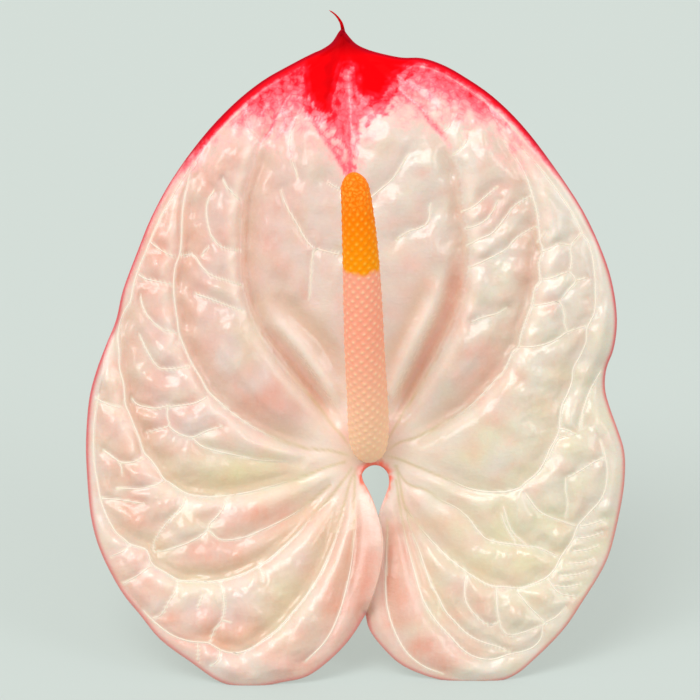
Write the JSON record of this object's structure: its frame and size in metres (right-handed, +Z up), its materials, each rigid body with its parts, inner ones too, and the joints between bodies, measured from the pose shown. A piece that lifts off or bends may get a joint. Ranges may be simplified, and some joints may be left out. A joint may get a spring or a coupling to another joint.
{
  "type": "cut anthurium stem",
  "caption": "Cut anthurium flower lying down: puckered heart-shaped spathe on its lobe rims, florets on a leaning spadix, and a slender stalk along the surface.",
  "frame": {"origin": "centre of the underside of the whole flower, on the surface that it lies on", "axes": "+Z up from the surface, +Y along the stalk from the bloom to the cut end, so the bloom faces -Y and a little up; +X to the right as seen from the bloom's front"},
  "size_m": [0.1074, 0.3222, 0.1221],
  "materials": {
    "spathe": "waxy gloss, cream blushed with pink, red towards the tip and along the rim",
    "spadix": "soft satin, salmon with an orange end, beaded with florets",
    "stalk": "satin green, blushed with pink below the spathe"
  },
  "bodies": {
    "root": {"spathe": "spathe", "spadix": "spadix", "stalk": "stalk"}
  },
  "joints": []
}
